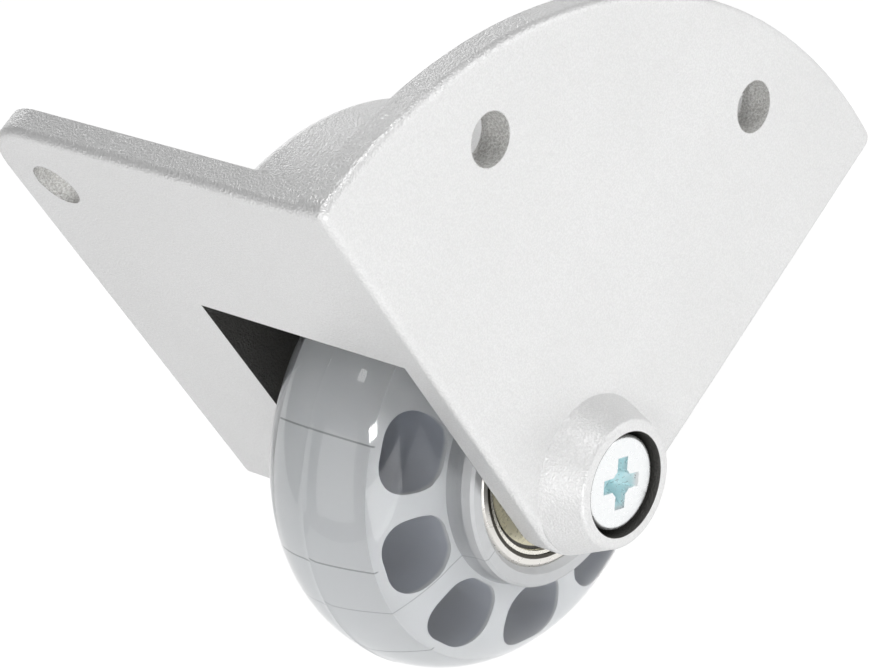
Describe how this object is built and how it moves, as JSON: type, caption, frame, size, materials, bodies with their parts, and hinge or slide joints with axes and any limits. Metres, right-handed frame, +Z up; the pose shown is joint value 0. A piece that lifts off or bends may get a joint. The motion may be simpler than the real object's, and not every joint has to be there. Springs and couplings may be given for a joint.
{
  "type": "recessed corner caster",
  "caption": "Cast corner housing with a quarter-round side plate, edge plates and a wheel well, holding a soft-tread skate wheel on ball bearings and a boss-mounted axle screw.",
  "frame": {"origin": "the cabinet corner: the point where the inner seating faces of the side, rear and bottom plates meet", "axes": "+Z up; +Y from the side plate into the cabinet, along the axle; +X from the rear plate into the cabinet"},
  "size_m": [0.0763, 0.0519, 0.0763],
  "materials": {
    "housing": "fine-grained silver powder coat",
    "core": "light grey moulded plastic",
    "tread": "glossy translucent grey polyurethane",
    "zinc": "bright zinc plate",
    "steel": "turned steel",
    "bearing_steel": "ground and polished",
    "gilt_shield": "yellow passivated sheet",
    "nylon": "natural nylon"
  },
  "bodies": {
    "housing": {"corner_housing": "housing", "axle_screw": "zinc", "lock_nut": "zinc", "nut_insert": "nylon", "axle_sleeve": "steel", "near_washer": "zinc", "far_washer": "zinc", "bearing_spacer": "steel", "near_inner_ring": "bearing_steel", "far_inner_ring": "bearing_steel"},
    "wheel": {"wheel_core": "core", "tyre": "tread", "near_outer_ring": "bearing_steel", "near_shield": "gilt_shield", "near_snap_ring": "bearing_steel", "far_outer_ring": "bearing_steel", "far_shield": "gilt_shield", "far_snap_ring": "bearing_steel"},
    "near_ball_set": {"near_balls": "bearing_steel", "near_cage": "nylon"},
    "far_ball_set": {"far_balls": "bearing_steel", "far_cage": "nylon"}
  },
  "joints": [
    {"name": "wheel_spin", "type": "hinge", "parent": "housing", "child": "wheel", "pos_m": [0.0055, 0.013, 0.0055], "axis": [0, 1, 0], "continuous": true},
    {"name": "near_ball_set_spin", "type": "hinge", "parent": "housing", "child": "near_ball_set", "pos_m": [0.0055, 0.005, 0.0055], "axis": [0, 1, 0], "continuous": true},
    {"name": "far_ball_set_spin", "type": "hinge", "parent": "housing", "child": "far_ball_set", "pos_m": [0.0055, 0.021, 0.0055], "axis": [0, 1, 0], "continuous": true}
  ],
  "couplings": [
    {"joint": "near_ball_set_spin", "follows": "wheel_spin", "ratio": 0.63},
    {"joint": "far_ball_set_spin", "follows": "wheel_spin", "ratio": 0.63}
  ]
}
